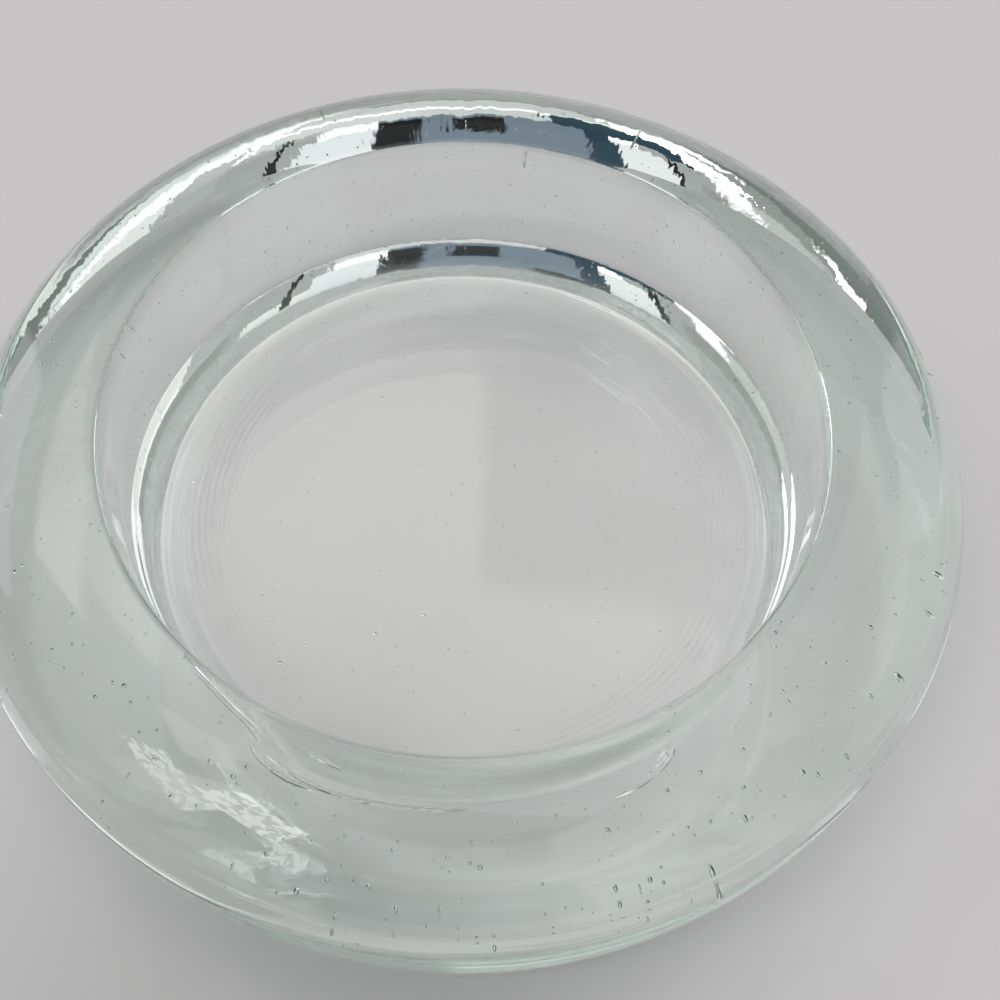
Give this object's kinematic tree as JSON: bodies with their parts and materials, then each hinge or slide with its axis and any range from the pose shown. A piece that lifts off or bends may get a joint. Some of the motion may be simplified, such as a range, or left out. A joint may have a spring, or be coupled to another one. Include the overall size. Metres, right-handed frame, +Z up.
{
  "type": "floating candle bowl",
  "caption": "Heavy low bowl of clear cast glass with a broad round rim and a deep flat-floored well that holds water and a floating candle.",
  "frame": {"origin": "centre of the base, on the surface that the bowl stands on", "axes": "+Z up along the axis of the round bowl; +X and +Y are alike, because the bowl is round"},
  "size_m": [0.127, 0.127, 0.0298],
  "materials": {
    "glass": "polished clear cast glass with a faint green tint and small seed bubbles"
  },
  "bodies": {
    "root": {"glass_bowl": "glass"}
  },
  "joints": []
}
